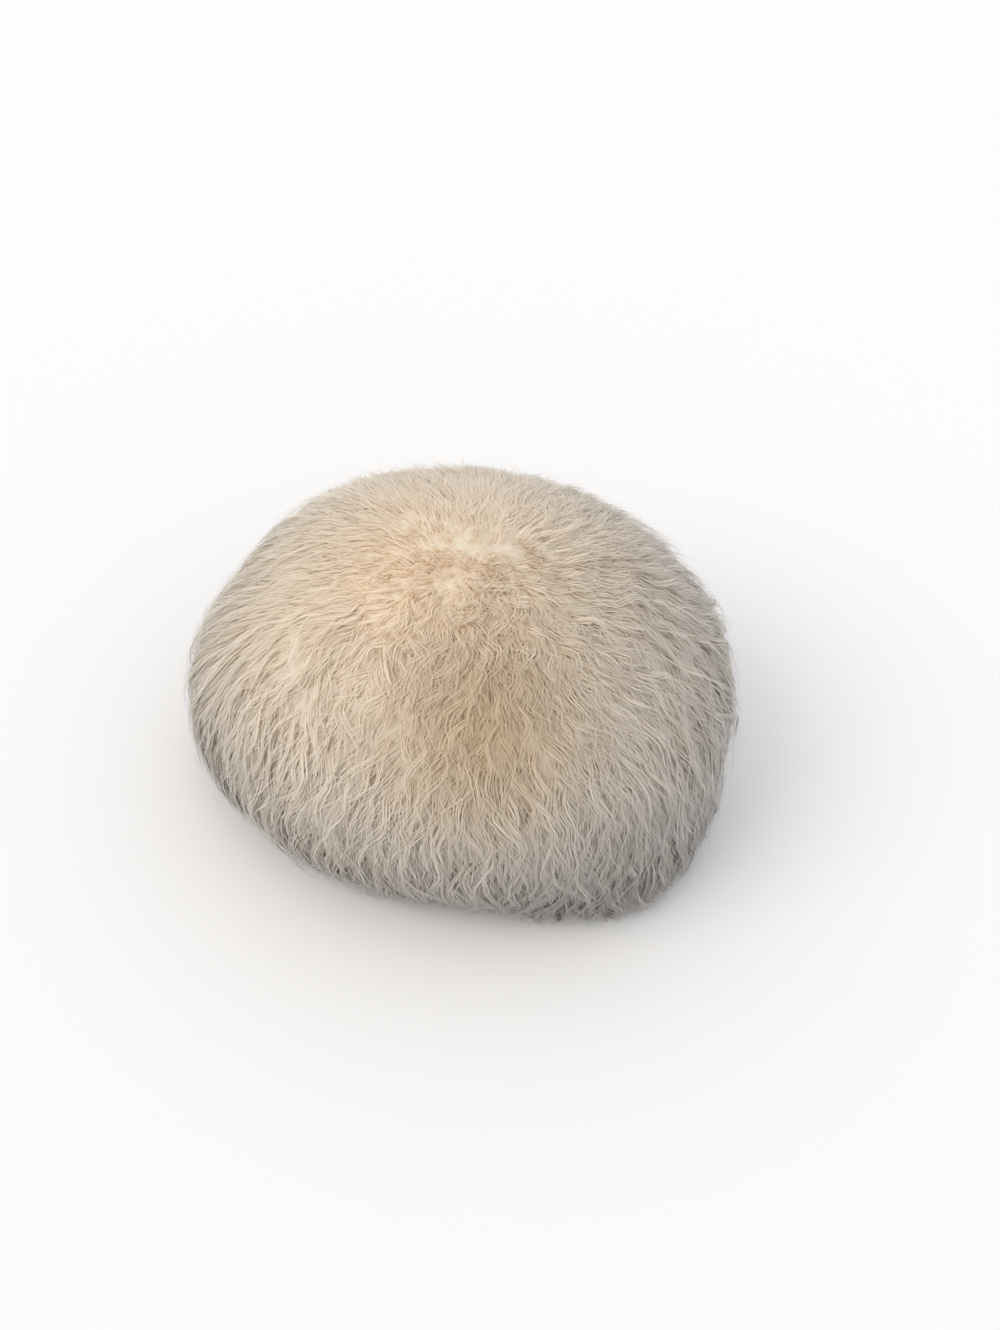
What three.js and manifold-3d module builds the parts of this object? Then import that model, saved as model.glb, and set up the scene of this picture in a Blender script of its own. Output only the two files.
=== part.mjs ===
// A Turkmen telpek: a deep round cap of sheepskin with the long wool left on.
// The hide is sewn from an oval side band and a domed crown, skin side in. The wool on each of
// the two stands out some 50 mm and falls over the tier below in pointed locks.
// The hat rests on its rim, with the lowest locks touching the surface.
// Millimetres, +Z up, the wearer's brow towards -Y, origin under the middle of the hat.

import * as THREE from 'three'
import { mergeVertices } from 'three/addons/utils/BufferGeometryUtils.js'
import Module from 'manifold-3d'

const wasm = await Module()
wasm.setup()

// Driving sizes of the hide
const HEAD_LENGTH = 190          // inside the rim, brow to nape
const HEAD_WIDTH = 169           // inside the rim, ear to ear
const HIDE = 2.5                 // tanned sheepskin without its wool
const BAND_HEIGHT = 92           // rim to the crown seam
const BAND_BOW = 1.5             // how far the band bellies out at half its height
const CROWN_EDGE = 117           // rim to the end of the crown's turned edge
const CROWN_RISE = 1             // from there to the middle of the crown
const SHOULDER = 24              // radius of the crown's turned edge
const SHOULDER_STEPS = 3         // facets of that edge
const SEAM_GAP = 0.3             // between two pieces that meet

// Driving sizes of the wool
const WOOL_LENGTH = 294          // outside the wool, brow to nape
const WOOL_WIDTH = 274           // outside the wool, ear to ear
const WOOL_TOP = 168             // rim to the top of the wool
const LOCK_SINK = 6              // how far the wool mass lies below the wool's outside
const TIP_LIFT = 2               // how far a lock's tip stands off that outside
const LOCK_CLEAR = 1.2           // room that the band's wool leaves round a lock of the crown
const PARTING_FALL = 8           // how far the crown's wool droops where it meets the band's
const ROUND = 32                 // sides of every turned solid
const MASS_RINGS = 9             // rings of the wool mass from pole to hem

// Upright section of the wool's outside: reach is a share of half the hat's mean width,
// height a share of its top.
const WOOL_SECTION = [
  { height: 1.00, reach: 0.00 },
  { height: 0.985, reach: 0.20 },
  { height: 0.94, reach: 0.42 },
  { height: 0.865, reach: 0.62 },
  { height: 0.755, reach: 0.79 },
  { height: 0.62, reach: 0.92 },
  { height: 0.48, reach: 0.985 },
  { height: 0.34, reach: 1.00 },
  { height: 0.20, reach: 0.965 },
  { height: 0.09, reach: 0.90 },
  { height: 0.00, reach: 0.83 },
]

// How the wool departs from that section round the hat, in millimetres outwards.
// Azimuth is counted from the brow over the wearer's left ear.
const WOOL_SIDES = [
  { side: 'brow', azimuth: 0, shoulder: -8, belly: 7, hem: 20 },
  { side: 'left brow', azimuth: 45, shoulder: -1, belly: 1, hem: -4 },
  { side: 'left ear', azimuth: 90, shoulder: 0, belly: -2, hem: -10 },
  { side: 'left nape', azimuth: 135, shoulder: 1, belly: 6, hem: 21 },
  { side: 'nape', azimuth: 180, shoulder: 1, belly: -3, hem: 14 },
  { side: 'right nape', azimuth: 225, shoulder: 1, belly: -3, hem: 3 },
  { side: 'right ear', azimuth: 270, shoulder: 2, belly: 0, hem: 0 },
  { side: 'right brow', azimuth: 315, shoulder: 6, belly: 2, hem: 4 },
]

// Where each column of that table has its say: a height share, and how far it fades from there.
const SIDE_REACH = {
  shoulder: { centre: 0.72, fade: 0.30 },
  belly: { centre: 0.34, fade: 0.35 },
  hem: { centre: 0, fade: 0.30 },
}

// One lock from its root, ending in a point. Along is a share of its length and breadth of its
// width. Foot and ridge are its edges and its crest, in millimetres off the wool's outside.
const LOCK_STATIONS = [
  { along: 0.00, breadth: 0.60, foot: -10, ridge: -5 },
  { along: 0.30, breadth: 1.00, foot: -8, ridge: 2 },
  { along: 0.58, breadth: 0.95, foot: -7, ridge: 3 },
  { along: 0.82, breadth: 0.55, foot: -5, ridge: 3 },
]
const CREST_ASIDE = 0.12         // how far the crest lies off the middle, as a share of half
const LOCK_SWING = 1.5           // half turns of the sway along one lock
const LENGTH_SPREAD = 0.12       // how much longer or shorter a lock is than its tier's
const PLACE_SPREAD = 0.15        // how far a lock is from its even place, as a share of a step
const STEP = 0.01                // a small step down the wool, to find which way it runs

// Tiers of locks. Start and length are shares of the way down the wool from pole to hem,
// width is in millimetres, and sway is how far a lock wanders sideways.
const CROWN_TIERS = [
  { start: 0.02, length: 0.18, count: 6, width: 27, sway: 4 },
  { start: 0.16, length: 0.21, count: 11, width: 36, sway: 7 },
  { start: 0.32, length: 0.22, count: 16, width: 42, sway: 9 },
  { start: 0.49, length: 0.22, count: 20, width: 44, sway: 10 },
]
const BAND_TIERS = [
  { start: 0.66, length: 0.20, count: 23, width: 40, sway: 10 },
  { start: 0.80, length: 0.22, count: 27, width: 32, sway: 9 },
]

// Bounds for the cuts, well outside the hat
const FAR = 200
const DEPTH = 40

const GOLDEN = Math.PI * (3 - Math.sqrt(5))   // turns that never repeat, so no two locks are alike
const DEGREES = 180 / Math.PI

const hideMean = (HEAD_LENGTH + HEAD_WIDTH) / 4 + HIDE
const woolMean = (WOOL_LENGTH + WOOL_WIDTH) / 4
const hideOval = {
  x: (HEAD_WIDTH / 2 + HIDE) / hideMean,
  y: (HEAD_LENGTH / 2 + HIDE) / hideMean,
}
const woolOval = { x: WOOL_WIDTH / 2 / woolMean, y: WOOL_LENGTH / 2 / woolMean }

// A closed geometry as a solid that can be cut. One that is inside out is turned round.
function toManifold(geometry) {
  const bare = geometry.clone()
  bare.deleteAttribute('normal')
  bare.deleteAttribute('uv')
  const merged = mergeVertices(bare, 1e-4)
  const vertProperties = new Float32Array(merged.attributes.position.array)
  const corners = Array.from(merged.index.array)
  const triVerts = []
  for (let i = 0; i < corners.length; i += 3) {
    const [a, b, c] = corners.slice(i, i + 3)
    if (a !== b && b !== c && c !== a) triVerts.push(a, b, c)
  }
  const build = (order) => new wasm.Manifold(
    new wasm.Mesh({ numProp: 3, vertProperties, triVerts: new Uint32Array(order) }))
  const solid = build(triVerts)
  return solid.volume() > 0 ? solid : build(triVerts.toReversed())
}

// A cut solid as a geometry for a mesh.
function toGeometry(solid) {
  const mesh = solid.getMesh()
  const geometry = new THREE.BufferGeometry()
  geometry.setAttribute('position', new THREE.BufferAttribute(new Float32Array(mesh.vertProperties), 3))
  geometry.setIndex(new THREE.BufferAttribute(new Uint32Array(mesh.triVerts), 1))
  geometry.computeVertexNormals()
  return geometry
}

// The main body of a cut solid, without the slivers that the cut leaves beside it.
function mainBody(solid) {
  return solid.decompose().reduce((most, body) => body.volume() > most.volume() ? body : most)
}

// A solid turned round Z from rows of reach and height, then drawn out to an oval.
function turned(rows, oval) {
  const points = rows.map(({ reach, height }) => new THREE.Vector2(reach, height))
  const geometry = new THREE.LatheGeometry(points, ROUND)
  geometry.rotateX(Math.PI / 2)
  geometry.scale(oval.x, oval.y, 1)
  return toManifold(geometry)
}

// The crown's turned edge: rows from its foot to its end, for a wall set in by inset.
function shoulderRows(inset) {
  const rows = []
  for (let i = 0; i <= SHOULDER_STEPS; i++) {
    const turn = (i / SHOULDER_STEPS) * Math.PI / 2
    rows.push({
      reach: hideMean - SHOULDER + (SHOULDER - inset) * Math.cos(turn),
      height: CROWN_EDGE - SHOULDER + (SHOULDER - inset) * Math.sin(turn),
    })
  }
  return rows
}

// The side of the band from rim to seam, for a wall set in by inset.
function bandRows(inset) {
  return [
    { reach: hideMean - inset, height: 0 },
    { reach: hideMean - inset + BAND_BOW, height: BAND_HEIGHT / 2 },
    { reach: hideMean - inset, height: BAND_HEIGHT },
  ]
}

// The side band of hide, an oval tube.
function hideBand() {
  const outside = bandRows(0)
  return turned([...outside, ...bandRows(HIDE).toReversed(), outside[0]], hideOval)
}

// The crown of hide, a shallow dome with a turned edge that is sewn to the band.
function hideCrown() {
  const foot = BAND_HEIGHT + SEAM_GAP
  const middle = CROWN_EDGE + CROWN_RISE
  return turned([
    { reach: hideMean, height: foot },
    ...shoulderRows(0),
    { reach: 0, height: middle },
    { reach: 0, height: middle - HIDE },
    ...shoulderRows(HIDE).toReversed(),
    { reach: hideMean - HIDE, height: foot },
    { reach: hideMean, height: foot },
  ], hideOval)
}

// Everything inside the wool: the hide with a gap round it, and the hollow for the head.
function insideOfWool() {
  const side = bandRows(-SEAM_GAP)
  return turned([
    { reach: 0, height: -DEPTH },
    { reach: side[0].reach, height: -DEPTH },
    ...side,
    ...shoulderRows(-SEAM_GAP),
    { reach: 0, height: CROWN_EDGE + CROWN_RISE + SEAM_GAP },
    { reach: 0, height: -DEPTH },
  ], hideOval)
}

// The wool's upright section as a smooth curve, from the pole down to the hem.
const sectionCurve = new THREE.CatmullRomCurve3(
  WOOL_SECTION.map(({ height, reach }) =>
    new THREE.Vector3(reach * woolMean, 0, height * WOOL_TOP)), false, 'centripetal')

// Smooth steps from 0 to 1.
const smooth = (share) => share * share * (3 - 2 * share)

// One column of the table of sides, blended round the hat.
function sideValue(column, azimuth) {
  const turn = ((azimuth / 360) % 1 + 1) % 1
  const place = turn * WOOL_SIDES.length
  const row = Math.floor(place)
  const from = WOOL_SIDES[row % WOOL_SIDES.length][column]
  const to = WOOL_SIDES[(row + 1) % WOOL_SIDES.length][column]
  return from + (to - from) * smooth(place - row)
}

// How far the wool stands out beyond its section, at a share of its height.
function departure(heightShare, azimuth) {
  let sum = 0
  for (const [column, { centre, fade }] of Object.entries(SIDE_REACH)) {
    const away = Math.min(1, Math.abs(heightShare - centre) / fade)
    sum += sideValue(column, azimuth) * (1 - smooth(away))
  }
  return sum
}

// A point of the wool's outside: down is 0 at the pole and 1 at the hem, raise is outwards.
function woolPoint(down, azimuth, raise = 0) {
  const share = Math.min(1, Math.max(0, down))
  const point = sectionCurve.getPointAt(share)
  const tangent = sectionCurve.getTangentAt(share)
  const reach = point.x + departure(point.z / WOOL_TOP, azimuth) - tangent.z * raise
  const turn = azimuth / DEGREES
  return new THREE.Vector3(
    Math.sin(turn) * reach * woolOval.x,
    -Math.cos(turn) * reach * woolOval.y,
    point.z + tangent.x * raise)
}

// A closed skin over rings of points, with a fan on a point at each end.
function skin(rings, first, last) {
  const positions = [first, ...rings.flat(), last].flatMap((p) => [p.x, p.y, p.z])
  const sides = rings[0].length
  const at = (ring, side) => 1 + ring * sides + side % sides
  const end = 1 + rings.length * sides
  const faces = []
  for (let side = 0; side < sides; side++) {
    faces.push(0, at(0, side + 1), at(0, side))
    for (let ring = 0; ring + 1 < rings.length; ring++) {
      faces.push(at(ring, side), at(ring, side + 1), at(ring + 1, side))
      faces.push(at(ring, side + 1), at(ring + 1, side + 1), at(ring + 1, side))
    }
    faces.push(at(rings.length - 1, side), at(rings.length - 1, side + 1), end)
  }
  const geometry = new THREE.BufferGeometry()
  geometry.setAttribute('position', new THREE.Float32BufferAttribute(positions, 3))
  geometry.setIndex(faces)
  return toManifold(geometry)
}

// The wool mass that the locks are rooted in, from just under their crests to the axis.
function woolMass() {
  const rings = []
  for (let i = 1; i <= MASS_RINGS; i++) {
    const ring = []
    for (let side = 0; side < ROUND; side++) {
      ring.push(woolPoint(i / MASS_RINGS, (side / ROUND) * 360, -LOCK_SINK))
    }
    rings.push(ring)
  }
  const pole = woolPoint(0, 0, -LOCK_SINK)
  return skin(rings, pole, new THREE.Vector3(0, 0, -1))
}

// One lock: a ridged, swaying, pointed body whose edges are sunk in the wool mass. Grow makes
// it bigger by that much, for the space that its neighbours leave it. Its flanks and its point
// are slanted, so they move out by more.
function lock({ start, length, width, sway }, azimuth, phase, grow) {
  const aside = 2 * grow
  const ahead = 4 * grow
  const azimuthAt = (along) => {
    const onWool = woolPoint(start + length * along, azimuth)
    const drift = sway * along * Math.sin(phase + along * Math.PI * LOCK_SWING)
    return azimuth + drift / Math.hypot(onWool.x, onWool.y) * DEGREES
  }
  const rings = LOCK_STATIONS.map(({ along, breadth, foot, ridge }) => {
    const down = start + length * along
    const turn = azimuthAt(along)
    const middle = woolPoint(down, turn)
    const flow = woolPoint(down + STEP, azimuthAt(along + STEP / length)).sub(middle).normalize()
    const out = woolPoint(down, turn, 1).sub(middle).normalize()
    const across = new THREE.Vector3().crossVectors(flow, out).normalize()
    const half = width * breadth / 2 + aside
    const corner = (side, outward) => middle.clone()
      .addScaledVector(across, side * half).addScaledVector(out, outward)
    return [corner(1, foot - grow), corner(CREST_ASIDE, ridge + grow), corner(-1, foot - grow)]
  })
  const root = woolPoint(start - STEP, azimuth, LOCK_STATIONS[0].foot)
  const tip = woolPoint(start + length, azimuthAt(1), TIP_LIFT)
  const [edge, , otherEdge] = rings.at(-1)
  const onward = tip.clone().sub(edge.clone().lerp(otherEdge, 0.5)).normalize()
  tip.addScaledVector(onward, ahead)
  return skin(rings, root, tip)
}

// All the locks of some tiers, every second tier half a step on.
function locks(tiers, grow = 0) {
  const made = []
  tiers.forEach((tier, row) => {
    for (let i = 0; i < tier.count; i++) {
      const phase = GOLDEN * (made.length + 1)
      const place = i + (row % 2) / 2 + PLACE_SPREAD * Math.sin(phase * 5)
      const length = tier.length * (1 + LENGTH_SPREAD * Math.sin(phase * 7))
      made.push(lock({ ...tier, length }, place / tier.count * 360, phase, grow))
    }
  })
  return made.reduce((sum, one) => sum.add(one))
}

// The space above the parting, where the crown's wool leaves the band's.
function abovePartings(lower) {
  const seam = BAND_HEIGHT - lower
  const slope = PARTING_FALL / (woolMean - hideMean)
  return turned([
    { reach: 0, height: seam },
    { reach: hideMean, height: seam },
    { reach: FAR, height: seam - slope * (FAR - hideMean) },
    { reach: FAR, height: FAR },
    { reach: 0, height: FAR },
  ], woolOval)
}

// The crown's wool hangs over the band's wool, which leaves room for it.
const inside = insideOfWool()
const mass = woolMass()
const underRim = toManifold(new THREE.BoxGeometry(3 * FAR, 3 * FAR, DEPTH).translate(0, 0, -DEPTH / 2))
const crownSpace = abovePartings(2 * SEAM_GAP).add(locks(CROWN_TIERS, LOCK_CLEAR))

const woolCrown = mainBody(mass.intersect(abovePartings(0)).add(locks(CROWN_TIERS)).subtract(inside))
const woolBand = mainBody(mass.add(locks(BAND_TIERS))
  .subtract(crownSpace).subtract(inside).subtract(underRim))

const suede = new THREE.MeshStandardMaterial({ color: '#cdbb9f', roughness: 0.95, metalness: 0 })
const crownWool = new THREE.MeshStandardMaterial({ color: '#dcc6a4', roughness: 0.9, metalness: 0 })
const bandWool = new THREE.MeshStandardMaterial({ color: '#c9bba5', roughness: 0.9, metalness: 0 })

const hat = new THREE.Group()
function piece(name, solid, material) {
  const mesh = new THREE.Mesh(toGeometry(solid), material)
  mesh.name = name
  hat.add(mesh)
}
piece('hide_band', hideBand(), suede)
piece('hide_crown', hideCrown(), suede)
piece('wool_crown', woolCrown, crownWool)
piece('wool_band', woolBand, bandWool)

// The locks are uneven, so the middle of what was built is found and put over the origin.
const middle = new THREE.Box3().setFromObject(hat).getCenter(new THREE.Vector3())
hat.position.set(-middle.x, -middle.y, 0)

export default hat
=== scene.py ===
# %% [markdown]
# # A telpek in long sheep's wool
#
# A telpek is a deep round cap of sheepskin, worn with the wool outside. The skin is cut in two, an
# oval side band and a domed crown, and sewn with the bare suede side in. What the eye sees is wool:
# thousands of fibres, each far thinner than a pixel, that stick together in wavy locks. This script
# builds the locks from flat ribbons, which are cheap enough that ninety thousand of them fit.

# %% Load the frame
import math

import bpy
import numpy as np
from mathutils import Matrix, Vector


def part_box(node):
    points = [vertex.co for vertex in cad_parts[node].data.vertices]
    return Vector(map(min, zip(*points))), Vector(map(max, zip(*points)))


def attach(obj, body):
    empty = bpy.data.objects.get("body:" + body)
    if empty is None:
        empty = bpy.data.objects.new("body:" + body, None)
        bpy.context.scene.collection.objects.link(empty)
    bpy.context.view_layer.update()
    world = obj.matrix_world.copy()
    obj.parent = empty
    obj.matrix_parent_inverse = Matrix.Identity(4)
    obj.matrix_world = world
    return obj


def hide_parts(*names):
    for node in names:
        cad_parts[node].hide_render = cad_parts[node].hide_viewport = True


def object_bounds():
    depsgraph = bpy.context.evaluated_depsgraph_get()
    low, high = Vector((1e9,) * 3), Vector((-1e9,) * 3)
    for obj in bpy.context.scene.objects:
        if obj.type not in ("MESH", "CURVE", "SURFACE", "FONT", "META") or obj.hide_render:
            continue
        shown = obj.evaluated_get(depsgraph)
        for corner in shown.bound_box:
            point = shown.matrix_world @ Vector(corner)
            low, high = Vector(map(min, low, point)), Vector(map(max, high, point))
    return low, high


MM = 0.001
TURN = 2 * math.pi
BODY = "root"
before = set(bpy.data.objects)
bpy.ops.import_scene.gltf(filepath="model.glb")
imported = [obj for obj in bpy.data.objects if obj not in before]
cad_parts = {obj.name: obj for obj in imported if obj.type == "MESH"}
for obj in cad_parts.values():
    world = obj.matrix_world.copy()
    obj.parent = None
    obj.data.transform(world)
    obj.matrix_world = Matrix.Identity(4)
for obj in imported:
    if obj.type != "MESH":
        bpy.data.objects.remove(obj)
model_low, model_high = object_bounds()
print("frame nodes:", sorted(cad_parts))

# %% [markdown]
# ## The camera
#
# The hat is seen from the wearer's left, from well above, so the brow is at the left of the
# picture. The camera leans a little, as a hand-held one does. It looks at a point beside the hat,
# which puts the hat left of the middle without any lens shift, so other views keep it centred.

# %% Place the camera
PHOTO_WIDTH, PHOTO_HEIGHT = 1000, 1330
FOCAL_PIXELS = 1620
SENSOR = 36.0
VIEW_ELEVATION = math.radians(43)
VIEW_ROLL = math.radians(5)
VIEW_DISTANCE = 0.887
HAT_PIXEL = (463, 652)

camera_data = bpy.data.cameras.new("camera")
camera_data.sensor_width = SENSOR
camera_data.lens = SENSOR * FOCAL_PIXELS / PHOTO_HEIGHT
camera = bpy.data.objects.new("camera", camera_data)
bpy.context.scene.collection.objects.link(camera)
bpy.context.scene.camera = camera

hat_middle = (model_low + model_high) / 2
backwards = Vector((math.cos(VIEW_ELEVATION), 0, math.sin(VIEW_ELEVATION)))
camera.location = hat_middle + backwards * VIEW_DISTANCE
turn = backwards.to_track_quat("Z", "Y") @ Matrix.Rotation(VIEW_ROLL, 3, "Z").to_quaternion()
metres_per_pixel = VIEW_DISTANCE / FOCAL_PIXELS
aside = turn @ Vector((1, 0, 0)) * (PHOTO_WIDTH / 2 - HAT_PIXEL[0]) * metres_per_pixel
upwards = turn @ Vector((0, 1, 0)) * (HAT_PIXEL[1] - PHOTO_HEIGHT / 2) * metres_per_pixel
aim = hat_middle + aside + upwards
swing = backwards.rotation_difference(camera.location - aim)
camera.rotation_mode = "QUATERNION"
camera.rotation_quaternion = swing @ turn
print("lens", round(camera_data.lens, 1), "mm")

# %% [markdown]
# ## Three small helpers
#
# A colour is easiest to think of as the sRGB hex value that a paint program shows, but Blender's
# sockets hold linear light, so one function turns one into the other. The second adds a shader
# node with its settings and links in one line. The third makes a material and sets the plain
# numbers of its shader on the shader's own sockets.

# %% Make colours, nodes and materials
def linear(hex_colour):
    """An sRGB hex colour as the linear RGBA that Blender's sockets hold."""
    channels = [int(hex_colour[i:i + 2], 16) / 255 for i in (1, 3, 5)]
    return [c / 12.92 if c <= 0.04045 else ((c + 0.055) / 1.055) ** 2.4 for c in channels] + [1.0]


def add_node(tree, kind, links=(), **settings):
    """Adds one node. Links are (socket, source) pairs, where a source is a socket or a value."""
    made = tree.nodes.new(kind)
    for name, value in settings.items():
        setattr(made, name, value)
    for socket, source in links:
        if isinstance(source, bpy.types.NodeSocket):
            tree.links.new(source, made.inputs[socket])
        else:
            made.inputs[socket].default_value = source
    return made


def new_material(name, sockets):
    """A material, its node tree and its Principled shader, with values set on its sockets."""
    material = bpy.data.materials.new(name)
    material.use_nodes = True
    shader = material.node_tree.nodes["Principled BSDF"]
    for socket, value in sockets.items():
        shader.inputs[socket].default_value = value
    return material, material.node_tree, shader


# %% [markdown]
# ## The floor
#
# The hat rests on matt white paper. The sheet is many times wider than the hat, so its shadow and
# the light that comes back from below are those of an open floor. It belongs to the picture and
# not to the hat.

# %% Lay the floor
FLOOR_SIZE = 12.0
half = FLOOR_SIZE / 2
paper, _, _ = new_material("matt_white_paper", {"Roughness": 0.9, "IOR": 1.5,
                                                "Base Color": linear("#f5f4f2")})
floor_data = bpy.data.meshes.new("floor")
floor_data.from_pydata([(-half, -half, 0), (half, -half, 0), (half, half, 0), (-half, half, 0)],
                       [], [(0, 1, 2, 3)])
floor_data.materials.append(paper)
floor = bpy.data.objects.new("floor", floor_data)
bpy.context.scene.collection.objects.link(floor)
print("the floor is", FLOOR_SIZE, "m wide")

# %% [markdown]
# ## The room's light
#
# Wool looks soft only under soft light: hard light would draw every ribbon's edge. So most of the
# light is the world, a white room that is brighter on the brow side. Where the camera looks
# straight at the room it is plain white, whatever the side. Pale wool passes light on many times,
# so ten diffuse bounces are allowed, and the gaps between the locks stay light.

# %% Light the room
LIGHT_FROM = Vector((0.1, -0.7, 0.7)).normalized()
DARKEST, BRIGHTEST = 0.74, 1.0
BOUNCES = 10

world = bpy.data.worlds.new("white_room")
world.use_nodes = True
sky = world.node_tree
direction = add_node(sky, "ShaderNodeTexCoord")
towards = add_node(sky, "ShaderNodeVectorMath",
                   [(0, direction.outputs["Generated"]), (1, LIGHT_FROM)], operation="DOT_PRODUCT")
brightness = add_node(sky, "ShaderNodeMapRange",
                      [("Value", towards.outputs["Value"]), ("From Min", -1.0), ("From Max", 1.0),
                       ("To Min", DARKEST), ("To Max", BRIGHTEST)])
ray = add_node(sky, "ShaderNodeLightPath")
backdrop = add_node(sky, "ShaderNodeMath",
                    [(0, brightness.outputs["Result"]), (1, ray.outputs["Is Camera Ray"])],
                    operation="MAXIMUM")
sky.links.new(backdrop.outputs["Value"], sky.nodes["Background"].inputs["Strength"])
sky.nodes["Background"].inputs["Color"].default_value = linear("#fafbff")
bpy.context.scene.world = world
bpy.context.scene.view_settings.view_transform = "Standard"
bpy.context.scene.cycles.diffuse_bounces = BOUNCES
print("the room's light comes mostly from", [round(part, 2) for part in LIGHT_FROM])

# %% [markdown]
# One very wide sun stands for a window above the brow. It warms the crown and leaves the nape a
# little greyer. An area lamp could stand for it too, but it would have to be placed, and a sun
# lights the whole hat with one strength. Its angle of 40 degrees gives shadows without an edge.

# %% Hang the window
WINDOW_FROM = Vector((0.4, -0.66, 0.68))
window = bpy.data.lights.new("warm_window", "SUN")
window.angle = math.radians(40)
window.energy = 0.95
window.color = linear("#fff7ea")[:3]
window_light = bpy.data.objects.new("warm_window", window)
window_light.rotation_mode = "QUATERNION"
window_light.rotation_quaternion = WINDOW_FROM.to_track_quat("Z", "Y")
bpy.context.scene.collection.objects.link(window_light)
print("the window is", round(math.degrees(window.angle)), "degrees wide")

# %% [markdown]
# ## The shape that the wool fills
#
# The outside of the fleece is a turned section, drawn out to an oval, with soft departures round
# the hat. The same few rows shape the solid model, so the two agree. A sculpted mesh could hold
# this shape too, but then nothing could ask it where the outside is, and every lock has to.

# %% Name the section and the sides
WOOL_LENGTH, WOOL_WIDTH, WOOL_TOP = 294 * MM, 274 * MM, 168 * MM
WOOL_SECTION = [  # height as a share of the top, reach as a share of half the mean width
    (1.00, 0.00), (0.985, 0.20), (0.94, 0.42), (0.865, 0.62), (0.755, 0.79), (0.62, 0.92),
    (0.48, 0.985), (0.34, 1.00), (0.20, 0.965), (0.09, 0.90), (0.00, 0.83),
]
# How the wool departs from that section round the hat, in millimetres. The rows go round in even
# steps from the brow over the wearer's left ear.
WOOL_SIDES = {
    "brow": {"shoulder": -8, "belly": 7, "hem": 20},
    "left brow": {"shoulder": -1, "belly": 1, "hem": -4},
    "left ear": {"shoulder": 0, "belly": -2, "hem": -10},
    "left nape": {"shoulder": 1, "belly": 6, "hem": 21},
    "nape": {"shoulder": 1, "belly": -3, "hem": 14},
    "right nape": {"shoulder": 1, "belly": -3, "hem": 3},
    "right ear": {"shoulder": 2, "belly": 0, "hem": 0},
    "right brow": {"shoulder": 6, "belly": 2, "hem": 4},
}
# Where each departure is strongest and how far it reaches, as shares of the top.
SIDE_REACH = {"shoulder": (0.72, 0.30), "belly": (0.34, 0.35), "hem": (0.0, 0.30)}

wool_mean = (WOOL_LENGTH + WOOL_WIDTH) / 4
wool_oval = np.array([WOOL_WIDTH / 2 / wool_mean, WOOL_LENGTH / 2 / wool_mean])
band_low, band_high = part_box("hide_band")
axis = np.array([(band_low.x + band_high.x) / 2, (band_low.y + band_high.y) / 2])
print("the hat's axis stands at", (axis / MM).round(1), "mm")

# %% [markdown]
# Few points make a shape that is easy to change, and a smooth line through them makes it round. A
# Catmull-Rom line passes through each of its points, which a B-spline does not. It is cut in even
# steps, so a share of its length is a place on the wool.

# %% Draw the section as a smooth line
LINE_CUTS, LINE_STEPS = 24, 400


def smooth_line(points):
    """A Catmull-Rom line through points, with its unit tangents, at even steps of length."""
    points = np.array(points, float)
    ends = np.vstack([2 * points[0] - points[1], points, 2 * points[-1] - points[-2]])
    share = np.linspace(0, 1, LINE_CUTS, endpoint=False)[:, None]
    pieces = []
    for a, b, c, d in zip(ends, ends[1:], ends[2:], ends[3:]):
        pieces.append(0.5 * (2 * b + (c - a) * share + (2 * a - 5 * b + 4 * c - d) * share ** 2
                             + (3 * b - a - 3 * c + d) * share ** 3))
    line = np.vstack([*pieces, points[-1:]])
    length = np.r_[0, np.cumsum(np.linalg.norm(np.diff(line, axis=0), axis=1))]
    even = np.linspace(0, length[-1], LINE_STEPS)
    line = np.stack([np.interp(even, length, line[:, i]) for i in (0, 1)], 1)
    tangent = np.gradient(line, axis=0)
    return line, tangent / np.linalg.norm(tangent, axis=1)[:, None], length[-1]


section, section_tangent, SECTION_LENGTH = smooth_line(
    [(reach * wool_mean, height * WOOL_TOP) for height, reach in WOOL_SECTION])
section_share = np.linspace(0, 1, len(section))
print("section", round(SECTION_LENGTH / MM), "mm from pole to hem")

# %% [markdown]
# Everything that grows on the hat asks one function where the outside is: a share of the way down
# from pole to hem, a turn round the hat, and a distance outwards. A second function gives the
# direction straight out, which is what the ribbons are lit by. At the hem that direction is kept
# from pointing at the floor, or the lowest tips would be lit as if they hung in the dark.

# %% Find points on the outside of the wool
FLOOR_RUN = 6 * MM
NUDGE = 1 * MM
HEM_START, HEM_SOFTNESS = 0.94, 0.08
LOWEST_UP, HEM_UP = -0.4, 0.5


def fade(value):
    """A smooth step from 0 to 1."""
    value = np.clip(value, 0, 1)
    return value * value * (3 - 2 * value)


def departure(height_share, turns):
    """How far the wool stands out beyond its section, in metres. Turns count round the hat."""
    place = (turns % 1) * len(WOOL_SIDES)
    row = np.floor(place).astype(int)
    blend = fade(place - row)
    total = 0
    for column, (centre, width) in SIDE_REACH.items():
        values = np.array([side[column] for side in WOOL_SIDES.values()]) * MM
        around = values[row % len(values)] * (1 - blend) + values[(row + 1) % len(values)] * blend
        total = total + around * (1 - fade(np.abs(height_share - centre) / width))
    return total


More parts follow.
